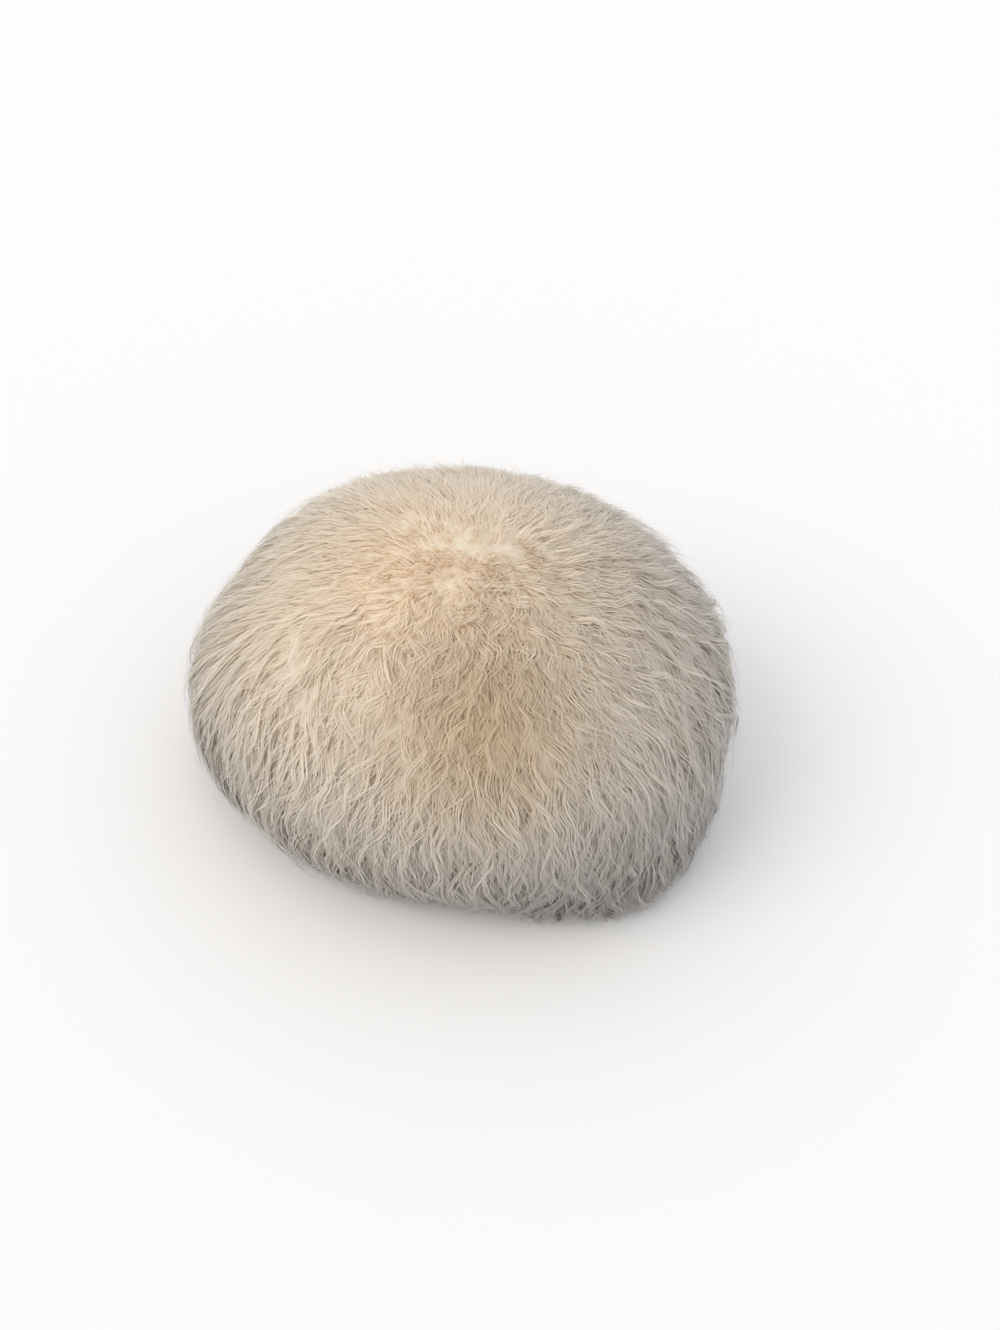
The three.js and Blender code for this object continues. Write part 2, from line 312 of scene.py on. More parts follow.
def wool_point(down, turns, outwards=0.0):
    """A point of the wool's outside, moved outwards. Past the hem it runs out along the floor."""
    share = np.clip(down, 0, 1)
    reach = np.interp(share, section_share, section[:, 0])
    height = np.interp(share, section_share, section[:, 1])
    along_reach = np.interp(share, section_share, section_tangent[:, 0])
    along_height = np.interp(share, section_share, section_tangent[:, 1])
    beyond = FLOOR_RUN * (1 - np.exp(-np.maximum(down - 1, 0) * SECTION_LENGTH / FLOOR_RUN))
    reach = reach + departure(height / WOOL_TOP, turns) - along_height * outwards + beyond
    height = height + along_reach * outwards
    angle = turns * TURN
    return np.stack([axis[0] + np.sin(angle) * reach * wool_oval[0],
                     axis[1] - np.cos(angle) * reach * wool_oval[1],
                     np.broadcast_to(height, reach.shape)], -1)


def unit(vectors):
    """Vectors made one long."""
    return vectors / np.maximum(np.linalg.norm(vectors, axis=-1, keepdims=True), 1e-12)


def wool_normal(down, turns):
    """The direction straight out of the wool. Past the hem, on the floor, it turns upwards."""
    out = unit(wool_point(down, turns, NUDGE) - wool_point(down, turns, 0.0))
    at_hem = fade((down - HEM_START) / HEM_SOFTNESS)
    out[..., 2] = np.maximum(out[..., 2], (HEM_UP - LOWEST_UP) * at_hem + LOWEST_UP)
    return unit(out)


ear = wool_point(np.array([0.5]), np.array([0.25]))[0]
print("half way down over the left ear the wool is", (ear / MM).round(), "mm from the origin")

# %% [markdown]
# ## How the wool grows
#
# Blender has a hair object, but a hair object is not a mesh and so is not kept with the hat. A
# tube for each fibre costs too many faces. A ribbon costs two faces a step, and when it is about
# as wide as a pixel nobody can tell it from a round fibre. So each lock is grown in two steps: a
# curved guide that lies down over the wool and waves, and a bundle of ribbons round that guide,
# wide at the root and drawn together at the tip. One table says how wool grows from the crown,
# where it is short and stands up, to the hem, where it is long and hangs. Everything reads that
# table, so the fleece changes bit by bit and shows no edge.

# %% Say how the wool grows
GROWTH = {  # read down the columns: shares of the way from pole to hem, then millimetres or ratios
    "down": (0.00, 0.12, 0.27, 0.40, 0.55, 0.75, 0.95),
    "length": (16, 23, 32, 44, 64, 68, 46),
    "stand": (15, 12, 12, 11, 10, 9, 8),
    "bend": (1.3, 1.7, 1.9, 2.0, 2.2, 2.2, 2.0),
    "crest": (1.0, 0.5, -0.5, -1.0, -1.5, -1.5, -1.5),
    "lean": (0.6, 0.5, 0.42, 0.34, 0.22, 0.17, 0.17),
    "wave": (1.0, 1.3, 2.2, 2.6, 3.0, 3.0, 2.4),
    "wavelength": (16, 17, 20, 28, 38, 42, 40),
    "width": (9, 9, 9, 9, 9, 9, 8),
    "thickness": (3, 3, 4, 4, 5, 5, 4),
    "ribbon": (0.56, 0.56, 0.56, 0.56, 0.58, 0.58, 0.56),
    "gather": (0.15, 0.25, 0.55, 0.70, 0.80, 0.84, 0.88),
    "stray": (0.20, 0.15, 0.08, 0.045, 0.03, 0.03, 0.035),
}
IN_MILLIMETRES = ("length", "stand", "crest", "wave", "wavelength", "width", "thickness", "ribbon")


def growth(down):
    """How wool grows at roots that lie a share of the way down: each row of the table, in metres."""
    rows = {key: np.interp(down, GROWTH["down"], row) for key, row in GROWTH.items()}
    return {key: row * MM if key in IN_MILLIMETRES else row for key, row in rows.items()}


print("at the ear locks are", round(float(growth(0.55)["length"]) / MM), "mm long")

# %% [markdown]
# Roots spread evenly when each turns on from the last by the golden angle, as seeds do on a
# flower, and when each ring gets as many as its area asks for. Real wool is not the same all
# round: it is roughest behind the left ear and lies smoother on the far side. Neighbouring locks
# lean and wave nearly alike, so both follow slow waves that run round and down the hat.

# %% Place the roots
SEED = 7
GOLDEN = (3 - math.sqrt(5)) / 2
ROOT_SPREAD = 0.004
AREA_STEPS = 300
ROUGH_TURN, ROUGH_WIDTH = 0.33, 1.3
SMOOTHEST = 0.2
rng = np.random.default_rng(SEED)


def shares_of_area(start, stop, count):
    """Count places down the wool between two shares, spread evenly over its area."""
    fine = np.linspace(start, stop, AREA_STEPS)
    area = np.cumsum(np.interp(fine, section_share, section[:, 0]) + 1e-6)
    area = (area - area[0]) / (area[-1] - area[0])
    even = (np.arange(count) + rng.uniform(0, 1, count)) / count
    return np.interp(even, area, fine)


def roughness_at(turn):
    """How rough the wool is at a turn round the hat, up to 1."""
    near = 0.5 + 0.5 * np.cos((turn - ROUGH_TURN) * TURN)
    return SMOOTHEST + (1 - SMOOTHEST) * fade(near * ROUGH_WIDTH)


def tide(turn, down):
    """The slow waves by which neighbouring locks lean, between -2 and 2."""
    return np.sin(turn * TURN * 5 + down * 9) + np.sin(turn * TURN * 11 - down * 23 + 2)


def rhythm(turn, down):
    """The slow waves by which neighbouring locks start their own wave, in radians."""
    return 2.6 * np.sin(turn * TURN * 4 + 1) + 1.9 * np.sin(turn * TURN * 9 + down * 8)


print("wool on the far side is", SMOOTHEST, "times as rough as behind the left ear")

# %% [markdown]
# A guide is a curve in the wool's own coordinates: how far down, how far round and how far out.
# Drawing it there rather than in space keeps it lying on the hat. It stands up from its root, lies
# down, leans to one side and waves from side to side and a little in and out. Near the pole the
# locks lean every way, which makes the whorl on top.

# %% Grow guides
GUIDE_STEPS = 17
POLE_REACH = 16 * MM
WHORL_REACH, WHORL_TURMOIL = 0.13, 2.0
FROM_FLOOR = (-5 * MM, 3 * MM)
LENGTH_SPREAD = (0.75, 1.2)
LEAN_SPREAD = 0.6
WAVE_SPREAD = (0.5, 1.4)
CREST_SPREAD = 2.2 * MM
BOB, BOB_LAG = 0.4, 1.7


def lock_guides(roots, locks, unruly=0.9, **changes):
    """Guides of locks that grow between two shares down the wool.

    Returns the points, directions, ways out and sides, each by lock, step and axis, and how each
    lock grows. A lock stands up from a root that lies stand deep, then lies down over the wool for
    its length. With a bend of 1 it leans evenly, and with more it lies down sooner. Its tip ends
    about crest outside the wool's even outside. Changes are added to the rows of the table.
    """
    along = np.linspace(0, 1, GUIDE_STEPS)[None, :]
    each = (locks, 1)
    root_down = shares_of_area(*roots, locks)[:, None]
    root_turn = (np.arange(locks) * GOLDEN + rng.normal(0, ROOT_SPREAD, locks))[:, None] % 1
    grown = growth(root_down)
    for key, change in changes.items():
        grown[key] = grown[key] + change
    rough = roughness_at(root_turn)
    grown["gather"] = grown["gather"] * rough
    to_floor = (1 - root_down) * SECTION_LENGTH + rng.uniform(*FROM_FLOOR, each)
    lengths = np.minimum(grown["length"] * rng.uniform(*LENGTH_SPREAD, each), to_floor)
    grown["length"] = lengths
    whorl = 1 + WHORL_TURMOIL * np.exp(-(root_down / WHORL_REACH) ** 2)
    chance = rng.normal(0, LEAN_SPREAD, each) * whorl
    leans = grown["lean"] * (0.5 * tide(root_turn, root_down) + chance)
    down = root_down + lengths * along * np.cos(leans) / SECTION_LENGTH
    phase = (rhythm(root_turn, root_down) + rng.normal(0, unruly, each) +
             TURN * down * SECTION_LENGTH / grown["wavelength"])
    height = grown["wave"] * rough * rng.uniform(*WAVE_SPREAD, each)
    swing = height * (np.sin(phase) - np.sin(phase[:, :1]))
    bob = height * (np.sin(phase + BOB_LAG) - np.sin(phase[:, :1] + BOB_LAG))
    sideways = lengths * along * np.sin(leans) + swing
    reach = np.interp(np.clip(down, 0, 1), section_share, section[:, 0])
    turns = root_turn + sideways / np.maximum(reach, POLE_REACH) / TURN
    rise = 1 - (1 - along) ** grown["bend"]
    top = grown["crest"] + rough * rng.normal(0, CREST_SPREAD, each)
    outwards = -grown["stand"] + (grown["stand"] + top) * rise + BOB * bob * along
    points = wool_point(down, turns, outwards)
    flow = unit(np.gradient(points, axis=1))
    out = wool_normal(down, turns)
    out = unit(out - flow * (out * flow).sum(-1, keepdims=True))
    return points, flow, out, np.cross(flow, out), grown


print("each guide has", GUIDE_STEPS, "points")

# %% [markdown]
# ## From guides to ribbons
#
# A lock's fibres differ: each starts and ends at its own place, strays a little from the guide and
# has a tone of its own. The ribbons lie flat on the lock's round surface. Their shading normals
# are turned most of the way to the outside of the hat, because light goes through fine wool and
# evens out between fibres. That keeps the fleece soft where bare facets would look like straw.

# %% Turn guides into ribbons
FLOOR_CLEAR = 0.4 * MM
STEPS = 8
LOCK_ROUND = 0.35
LATEST_START = 0.2
EARLIEST_END = 0.4
AROUND_SPREAD = 0.9
CURL = 0.5 * MM
CURLS = (5, 11)
RIBBON_SPREAD = (0.6, 1.3)
FACE_FOLLOWS, FACE_SPREAD = 0.45, 0.15


def spread(values, places):
    """Values by lock and step, read at places by lock, fibre and step, each from 0 to 1."""
    at = places * (GUIDE_STEPS - 1)
    low = np.clip(np.floor(at).astype(int), 0, GUIDE_STEPS - 2)
    part = (at - low)[..., None]
    lock = np.arange(len(values))[:, None, None]
    return values[lock, low] * (1 - part) + values[lock, low + 1] * part


def lock_ribbons(guide, fibres, steps=STEPS):
    """Ribbons round each guide: their two edges, normals and what the shader reads."""
    points, flow, out, side, grown = guide
    length, width, thickness, ribbon, gather, stray = (
        grown[key][:, :, None] for key in ("length", "width", "thickness", "ribbon", "gather", "stray"))
    each = (len(points), fibres, 1)
    begin = rng.uniform(0, LATEST_START, each)
    end = 1 - EARLIEST_END * rng.uniform(0, 1, each) ** 1.5
    along = begin + (end - begin) * np.linspace(0, 1, steps)
    centre, outs, sides = spread(points, along), spread(out, along), spread(side, along)
    # A fibre keeps its place in the lock's round section, mostly on the side that shows.
    angle = rng.normal(0, AROUND_SPREAD, each)
    radius = np.sqrt(rng.uniform(0.02, 1, each))
    bulk = 1 - gather * fade(along * 1.1)
    curl = np.sin(rng.uniform(0, TURN, each) + along * rng.uniform(*CURLS, each))
    stretch = length * along
    across = radius * np.sin(angle) * width / 2 * bulk + stretch * rng.normal(0, 1, each) * stray
    above = radius * np.cos(angle) * thickness / 2 * bulk + stretch * rng.normal(0, 1, each) * stray / 3
    middle = centre + sides * (across + CURL * curl * along)[..., None] + outs * above[..., None]
    middle[..., 2] = np.maximum(middle[..., 2], FLOOR_CLEAR)
    face = (FACE_FOLLOWS * angle + rng.normal(0, FACE_SPREAD, each))[..., None]
    flat = sides * np.cos(face) - outs * np.sin(face)
    bare = sides * np.sin(face) + outs * np.cos(face)
    # A ribbon is a little thinner at its root and runs out to a point at its tip.
    share = (along - begin) / (end - begin)
    taper = np.minimum(1, 0.55 + 2 * share) * np.minimum(1, 1.6 * (1 - share))
    half_width = (ribbon * rng.uniform(*RIBBON_SPREAD, each) * taper / 2)[..., None]
    normals = unit((1 - LOCK_ROUND) * outs + LOCK_ROUND * bare)
    tones = {"along": along,
             "lock_tone": np.broadcast_to(rng.uniform(0, 1, (len(points), 1, 1)), along.shape),
             "fibre_tone": np.broadcast_to(rng.uniform(0, 1, each), along.shape)}
    return middle - flat * half_width, middle + flat * half_width, normals, tones


print("a ribbon of", STEPS, "steps has", 2 * STEPS - 3, "triangles")

# %% [markdown]
# Tens of thousands of ribbons as objects of their own would bring Blender to a halt, so each
# stretch of fleece is one mesh. It is filled through foreach_set, which takes whole arrays and is
# far quicker than adding faces one by one. The tones go in as attributes, numbers that the mesh
# stores at each corner point for the material to read.

# %% Make one mesh from many ribbons
def add_piece(name, data, material):
    """Adds a mesh as a piece of the hat, which rides on its body and belongs to a slot."""
    data.materials.append(material)
    piece = bpy.data.objects.new(name, data)
    bpy.context.scene.collection.objects.link(piece)
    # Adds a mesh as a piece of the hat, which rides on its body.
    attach(piece, BODY)
    print(name, "has", len(data.loops) - 2 * len(data.polygons), "triangles")
    return piece


def ribbon_mesh(name, sets, material):
    """One mesh from several sets of ribbons. The last step of each ribbon is a single point."""
    corners, normals, facts, faces, sizes, base = [], [], {}, [], [], 0
    for left, right, facing, tones in sets:
        steps = left.shape[2]
        pairs = np.stack([left, right], 3).reshape(-1, 2 * steps, 3)[:, :-1]
        count, per = pairs.shape[:2]
        corners.append(pairs.reshape(-1, 3))
        normals.append(np.repeat(facing.reshape(-1, steps, 3), 2, 1)[:, :-1].reshape(-1, 3))
        for key, values in tones.items():
            facts.setdefault(key, []).append(np.repeat(values.reshape(-1, steps), 2, 1)[:, :-1].ravel())
        rung = np.arange(steps - 2) * 2
        strip = np.r_[np.stack([rung, rung + 1, rung + 3, rung + 2], 1).ravel(),
                      2 * steps - 4, 2 * steps - 3, 2 * steps - 2]
        faces.append((base + np.arange(count)[:, None] * per + strip).ravel())
        sizes.append(np.tile(np.r_[np.full(steps - 2, 4), 3], count))
        base += count * per
    corners, faces, sizes = np.concatenate(corners), np.concatenate(faces), np.concatenate(sizes)
    data = bpy.data.meshes.new(name)
    data.vertices.add(len(corners))
    data.vertices.foreach_set("co", corners.astype(np.float32).ravel())
    data.loops.add(len(faces))
    data.loops.foreach_set("vertex_index", faces.astype(np.int32))
    data.polygons.add(len(sizes))
    data.polygons.foreach_set("loop_start", np.r_[0, np.cumsum(sizes)[:-1]].astype(np.int32))
    data.update(calc_edges=True)
    data.normals_split_custom_set_from_vertices(np.concatenate(normals))
    for key, values in facts.items():
        attribute = data.attributes.new(key, "FLOAT", "POINT")
        attribute.data.foreach_set("value", np.concatenate(values).astype(np.float32))
    return add_piece(name, data, material)


# %% [markdown]
# ## The wool's colour, with painted light and shade
#
# A wool fibre is a scaly, slightly shiny thread. A bundle of them is matt, with a soft gleam along
# the bend of a lock. On this hat the crown is a warm cream, painted lightest round its middle as a
# pool of light, and the wool is painted greyer and darker the further it is from there, as painted
# shade. Over the ear a tan painted shade darkens it where the locks part, and the hem is painted
# darker towards the floor, as painted shade. Soft patches of 45 mm keep any of it from looking
# painted. Three numbers stored on each ribbon give the rest: how far along the fibre a point is,
# since wool is yellower near the skin and its roots are also painted darker as shade between the
# locks, the tone of its lock, and the tone of the fibre itself.

# %% Mix the wool's colour
# The crown's warm cream, painted lightest round this middle as a pool of light. Out to the grey reach
# the wool is painted greyer and darker, as painted shade.
WARM_LIT_MIDDLE = (0.03, -0.03, 0.165)
WARM_LIT_REACH, GREY_SHADE_REACH = 20 * MM, 180 * MM
PATCH = 45 * MM
# Painted shade: the wool is painted darker and greyer towards the floor, below this height.
HEM_HEIGHT, HEM_SHADE = 95 * MM, "#c8c8ca"
# Painted shade: a tan darkening over the ear, where the locks part and their depth lies in shade.
TAN_SHADE_MIDDLE, TAN_SHADE_REACH, TAN_SHADE = (0.1, 0.015, 0.125), 80 * MM, "#ebdfcb"
TONES = (0.9, 1.04)
# A Mix node has a set of sockets for each kind of data, and these are the ones for colours.
COLOUR_A, COLOUR_B, COLOUR_MIXED = 6, 7, 2


def wool_tone(tree, place):
    """How light a point is: a share of its lock's tone, its fibre's tone and a soft patch."""
    lock_tone = add_node(tree, "ShaderNodeAttribute", attribute_name="lock_tone")
    fibre_tone = add_node(tree, "ShaderNodeAttribute", attribute_name="fibre_tone")
    tone = add_node(tree, "ShaderNodeMath",
                    [(0, lock_tone.outputs["Fac"]), (1, 0.7), (2, fibre_tone.outputs["Fac"])],
                    operation="MULTIPLY_ADD")
    patches = add_node(tree, "ShaderNodeTexNoise",
                       [("Vector", place), ("Scale", 1 / PATCH), ("Detail", 1.0)])
    both = add_node(tree, "ShaderNodeMath",
                    [(0, patches.outputs["Fac"]), (1, 1.2), (2, tone.outputs["Value"])],
                    operation="MULTIPLY_ADD")
    light = add_node(tree, "ShaderNodeMapRange",
                     [("Value", both.outputs["Value"]), ("From Min", 0.3), ("From Max", 2.6),
                      ("To Min", TONES[0]), ("To Max", TONES[1])])
    return light.outputs["Result"]


def wool_colour(tree, place, warm, grey, root_tint_and_shade):
    """A point's colour: painted light to shade by place, then painted shade at hem, ear and roots,
    which are also yellower.
    """
    apart = add_node(tree, "ShaderNodeVectorMath", [(0, place), (1, WARM_LIT_MIDDLE)], operation="DISTANCE")
    # Painted light and shade: lightest and warmest round the crown's middle, greyer and darker away
    # from it.
    shade_by_distance = add_node(tree, "ShaderNodeMapRange",
                    [("Value", apart.outputs["Value"]), ("From Min", WARM_LIT_REACH),
                     ("From Max", GREY_SHADE_REACH)])
    lit_to_shaded = add_node(tree, "ShaderNodeMix",
                      [("Factor", shade_by_distance.outputs["Result"]), (COLOUR_A, linear(warm)),
                       (COLOUR_B, linear(grey))], data_type="RGBA")
    height = add_node(tree, "ShaderNodeSeparateXYZ", [("Vector", place)])
    # Painted shade, darkest at the floor and gone at the hem height.
    low = add_node(tree, "ShaderNodeMapRange",
                   [("Value", height.outputs["Z"]), ("From Min", 0.0), ("From Max", HEM_HEIGHT),
                    ("To Min", 1.0), ("To Max", 0.0)])
    # Near the root the wool is yellower, and it is also painted darker there as shade between the
    # locks.
    along = add_node(tree, "ShaderNodeAttribute", attribute_name="along")
    young = add_node(tree, "ShaderNodeMapRange",
                     [("Value", along.outputs["Fac"]), ("From Min", 0.05), ("From Max", 0.5),
                      ("To Min", 1.0), ("To Max", 0.0)])
    # Painted shade over the ear, strongest at its middle.
    from_tan_shade = add_node(tree, "ShaderNodeVectorMath",
                        [(0, place), (1, TAN_SHADE_MIDDLE)], operation="DISTANCE")
    tan_shade_share = add_node(tree, "ShaderNodeMapRange",
                      [("Value", from_tan_shade.outputs["Value"]), ("From Min", 0.0), ("From Max", TAN_SHADE_REACH),
                       ("To Min", 1.0), ("To Max", 0.0)], interpolation_type="SMOOTHSTEP")
    colour = lit_to_shaded.outputs[COLOUR_MIXED]
    # Each tint darkens by multiplying: painted shade at the hem and over the ear, and at the roots the
    # wool's own yellow together with painted shade.
    for share, tint in ((low, HEM_SHADE), (young, root_tint_and_shade), (tan_shade_share, TAN_SHADE)):
        tinted = add_node(tree, "ShaderNodeMix",
                          [("Factor", share.outputs["Result"]), (COLOUR_A, colour),
                           (COLOUR_B, linear(tint))], data_type="RGBA", blend_type="MULTIPLY")
        colour = tinted.outputs[COLOUR_MIXED]
    return colour


# %% [markdown]
# Two materials come from the same recipe. The long wool takes all of it and has a faint sheen. The
# underwool is duller and rougher, and its colours are a shade darker, partly as the deeper wool's own
# colour and partly as painted shade, since it is seen only in the gaps.

# %% Mix the two wools
def wool_material(name, warm, grey, root_tint_and_shade, roughness):
    """Sheep's wool. Warm is its colour on the lit crown, and grey is its painted shade at the sides."""
    material, tree, shader = new_material(name, {
        "Roughness": roughness, "IOR": 1.55, "Specular IOR Level": 0.3,
        "Sheen Weight": 0.2, "Sheen Roughness": 0.6})
    place = add_node(tree, "ShaderNodeTexCoord").outputs["Object"]
    shaded = add_node(tree, "ShaderNodeHueSaturation",
                      [("Color", wool_colour(tree, place, warm, grey, root_tint_and_shade)),
                       ("Value", wool_tone(tree, place))])
    tree.links.new(shaded.outputs["Color"], shader.inputs["Base Color"])
    print(name, "is", warm, "on the crown and", grey, "at the sides")
    return material


wool = wool_material("long_sheeps_wool", "#faead1", "#d3cdc4", "#fcf5e9", 0.7)
# The underwool's darker colours are partly painted shade for the gaps between the locks.
underwool = wool_material("dense_underwool", "#f4e5cd", "#c7c2ba", "#ffffff", 0.9)

# %% [markdown]
# ## The hide
#
# Under the wool is the sheepskin itself, tanned and sewn with the flesh side in, so the inside of
# the hat is suede. The solid model has the two pieces as walls with a few flat sides. Here they
# are turned again with enough sides to look round, from the same sizes, and their cut edges are
# eased, as a knife and some wear leave them. Each is a stack of rings with a skin over them, which
# is what Blender's Screw modifier makes too, but rings can be oval.

# %% Stack rings and skin them
COLUMNS = 200
turns_round = np.arange(COLUMNS) / COLUMNS
band_half = np.array([band_high.x - band_low.x, band_high.y - band_low.y]) / 2
band_reach = band_half.mean()


def hide_ring(inset, height):
    """A ring of points at a height, set in by inset from the widest part of the hide's outside."""
    angle = turns_round * TURN
    share = 1 - inset / band_reach
    return np.stack([axis[0] + np.sin(angle) * band_half[0] * share,
                     axis[1] - np.cos(angle) * band_half[1] * share,
                     np.full(COLUMNS, height)], -1)


def ring_mesh(name, rings, material, first_fan=False, last_fan=False, closed=False):
    """A smooth skin over rings of points, with a fan at an end or closed on itself."""
    rings = np.array([*rings, rings[0]] if closed else rings)
    index = np.arange(rings.size // 3).reshape(rings.shape[:2])
    if closed:
        index[-1] = index[0]
    here, onward = index[:-1], index[1:]
    quads = np.stack([here, np.roll(here, -1, 1), np.roll(onward, -1, 1), onward], -1).reshape(-1, 4)
    vertices, faces = rings.reshape(-1, 3).tolist(), quads.tolist()
    for fan, ring in ((first_fan, index[0][::-1].tolist()), (last_fan, index[-1].tolist())):
        if fan:
            vertices.append(np.array(vertices)[ring].mean(0).tolist())
            faces += [[a, b, len(vertices) - 1] for a, b in zip(ring, ring[1:] + ring[:1])]
    data = bpy.data.meshes.new(name)
    data.from_pydata(vertices, [], faces)
    data.polygons.foreach_set("use_smooth", np.ones(len(data.polygons), bool))
    data.validate()
    return add_piece(name, data, material)


print("the hide is", (band_half * 2 / MM).round(), "mm across")

# %% [markdown]
# The band bows out by 1.5 mm at half its height, because a head is round that way too. The crown
# goes straight up from the seam, turns in over a shoulder of 24 mm and rises a last millimetre
# towards its middle. Both are 2.5 mm thick, and their walls are listed from the outside over one
# edge to the inside and back over the other, so each skin closes.

# %% Lay out the rings of the band and the crown
HIDE = 2.5 * MM
BAND_BOW = 1.5 * MM
SHOULDER = 24 * MM
CROWN_RISE = 1 * MM
EDGE_EASE = 0.6 * MM
RIM_CLEAR = 0.3 * MM
OUTER_EDGE, INNER_EDGE = BAND_BOW + EDGE_EASE, BAND_BOW + HIDE - EDGE_EASE
crown_low, crown_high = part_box("hide_crown")
edge_top = crown_high.z - CROWN_RISE


def band_inset(height):
    """How far the band's outside lies in from its widest, at a height."""
    share = height / band_high.z
    return BAND_BOW * (1 - 4 * share * (1 - share))


def crown_wall(inset):
    """Rings of the crown from its foot over the turned edge almost to the middle."""
    rings = [hide_ring(BAND_BOW + inset, crown_low.z + EDGE_EASE)]
    rings += [hide_ring(BAND_BOW + SHOULDER - (SHOULDER - inset) * math.cos(t),
                        edge_top - SHOULDER + (SHOULDER - inset) * math.sin(t))
              for t in np.linspace(0, math.pi / 2, 10)]
    reach = band_reach - BAND_BOW - SHOULDER
    rings += [hide_ring(BAND_BOW + SHOULDER + reach * share, edge_top - inset + CROWN_RISE * share)
              for share in np.linspace(0.15, 0.97, 6)]
    return rings


band_heights = np.linspace(RIM_CLEAR + EDGE_EASE, band_high.z - EDGE_EASE, 15)
band_rings = [hide_ring(band_inset(z), z) for z in band_heights]
band_rings += [hide_ring(edge, band_high.z) for edge in (OUTER_EDGE, INNER_EDGE)]
band_rings += [hide_ring(band_inset(z) + HIDE, z) for z in band_heights[::-1]]
band_rings += [hide_ring(edge, RIM_CLEAR) for edge in (INNER_EDGE, OUTER_EDGE)]
crown_edge = [hide_ring(edge, crown_low.z) for edge in (INNER_EDGE, OUTER_EDGE)]
crown_rings = [*crown_wall(HIDE)[::-1], *crown_edge, *crown_wall(0)]
print("the band has", len(band_rings), "rings and the crown", len(crown_rings))

# %% [markdown]
# Suede is leather with its fibres brushed up. It has no gloss at all, a fine nap that catches the
# light at its edges, and cloudy patches where the nap lies one way or the other. The nap is about
# 0.4 mm, drawn at 0.8 mm so that it shows.

# %% Mix the suede and turn the hide
NAP, CLOUD, NAP_DEPTH = 0.8 * MM, 22 * MM, 0.3 * MM
suede, suede_tree, suede_shader = new_material("chamois_sheep_suede", {
    "Roughness": 0.95, "IOR": 1.5, "Sheen Weight": 0.5, "Sheen Roughness": 0.6})
where = add_node(suede_tree, "ShaderNodeTexCoord")
nap = add_node(suede_tree, "ShaderNodeTexNoise",
               [("Vector", where.outputs["Object"]), ("Scale", 1 / NAP), ("Detail", 3.0)])
clouds = add_node(suede_tree, "ShaderNodeTexNoise",
                  [("Vector", where.outputs["Object"]), ("Scale", 1 / CLOUD), ("Detail", 4.0)])
both_noises = add_node(suede_tree, "ShaderNodeMath",
                       [(0, nap.outputs["Fac"]), (1, 0.35), (2, clouds.outputs["Fac"])],
                       operation="MULTIPLY_ADD")
suede_tones = add_node(suede_tree, "ShaderNodeValToRGB", [("Fac", both_noises.outputs["Value"])])
for stop, position, tone in zip(suede_tones.color_ramp.elements, (0.45, 0.9), ("#b49a76", "#dccdb2")):
    stop.position = position
    stop.color = linear(tone)
nap_bump = add_node(suede_tree, "ShaderNodeBump",
                    [("Height", nap.outputs["Fac"]), ("Strength", 0.5), ("Distance", NAP_DEPTH)])
suede_tree.links.new(suede_tones.outputs["Color"], suede_shader.inputs["Base Color"])
suede_tree.links.new(nap_bump.outputs["Normal"], suede_shader.inputs["Normal"])

suede_band = ring_mesh("suede_band", band_rings, suede, closed=True)
suede_crown = ring_mesh("suede_crown", crown_rings, suede, first_fan=True, last_fan=True)
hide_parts("hide_band")
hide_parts("hide_crown")

# %% [markdown]
# ## The seams
#
# A furrier joins skins edge to edge with an overcast stitch of waxed thread: short slanting turns,
# 4 to 5 mm apart. A bevelled curve would make a stitch too, but it would have to be turned into a
# mesh, so each stitch is a short bent tube from the start. The thread has a soft wax gloss and
# flecks of linen, much finer than a render shows.

# %% Twist the thread and a stitch of it
STITCH_STEP = 4.5 * MM
STITCH_LENGTH = 5.5 * MM
STITCH_RISE = 0.7 * MM
STITCH_SIDES, STITCH_RINGS = 6, 6
THREAD = 0.9 * MM

thread, thread_tree, thread_shader = new_material("waxed_linen_thread", {"Roughness": 0.55, "IOR": 1.5})
fleck = add_node(thread_tree, "ShaderNodeTexNoise", [("Scale", 1 / (1.2 * MM)), ("Detail", 2.0)])
thread_tones = add_node(thread_tree, "ShaderNodeValToRGB", [("Fac", fleck.outputs["Fac"])])
for stop, tone in zip(thread_tones.color_ramp.elements, ("#8f7a55", "#d8c79f")):
    stop.color = linear(tone)
thread_tree.links.new(thread_tones.outputs["Color"], thread_shader.inputs["Base Color"])


def sew(name, middles, across, inwards):
    """Overcast stitches as one piece: a bent tube at each middle, laid across the seam."""
    vertices, faces = [], []
    sides = STITCH_SIDES
    ring_turns = np.arange(sides) * TURN / sides
    for middle, along, up, beside in zip(middles, across, inwards, np.cross(across, inwards)):
        base = len(vertices)
        for s in np.linspace(-1, 1, STITCH_RINGS):
            thin = THREAD / 2 * (1 - 0.6 * s ** 6)
            centre = middle + along * s * STITCH_LENGTH / 2 + up * STITCH_RISE * (1 - 1.4 * s * s)
            vertices += [centre + thin * (math.cos(t) * beside + math.sin(t) * up) for t in ring_turns]
        for ring in range(STITCH_RINGS - 1):
            at = base + ring * sides
            faces += [(at + i, at + (i + 1) % sides, at + sides + (i + 1) % sides, at + sides + i)
                      for i in range(sides)]
        faces += [tuple(range(base + sides - 1, base - 1, -1)),
                  tuple(range(len(vertices) - sides, len(vertices)))]
    data = bpy.data.meshes.new(name)
    data.from_pydata([tuple(v) for v in vertices], [], faces)
    data.polygons.foreach_set("use_smooth", np.ones(len(faces), bool))
    print(name, "has", len(middles), "stitches")
    return add_piece(name, data, thread)


# %% [markdown]
# One seam runs round the hat between band and crown, and one closes the band at the nape. Both lie
# on the suede, inside the hat, and the same function sews them.

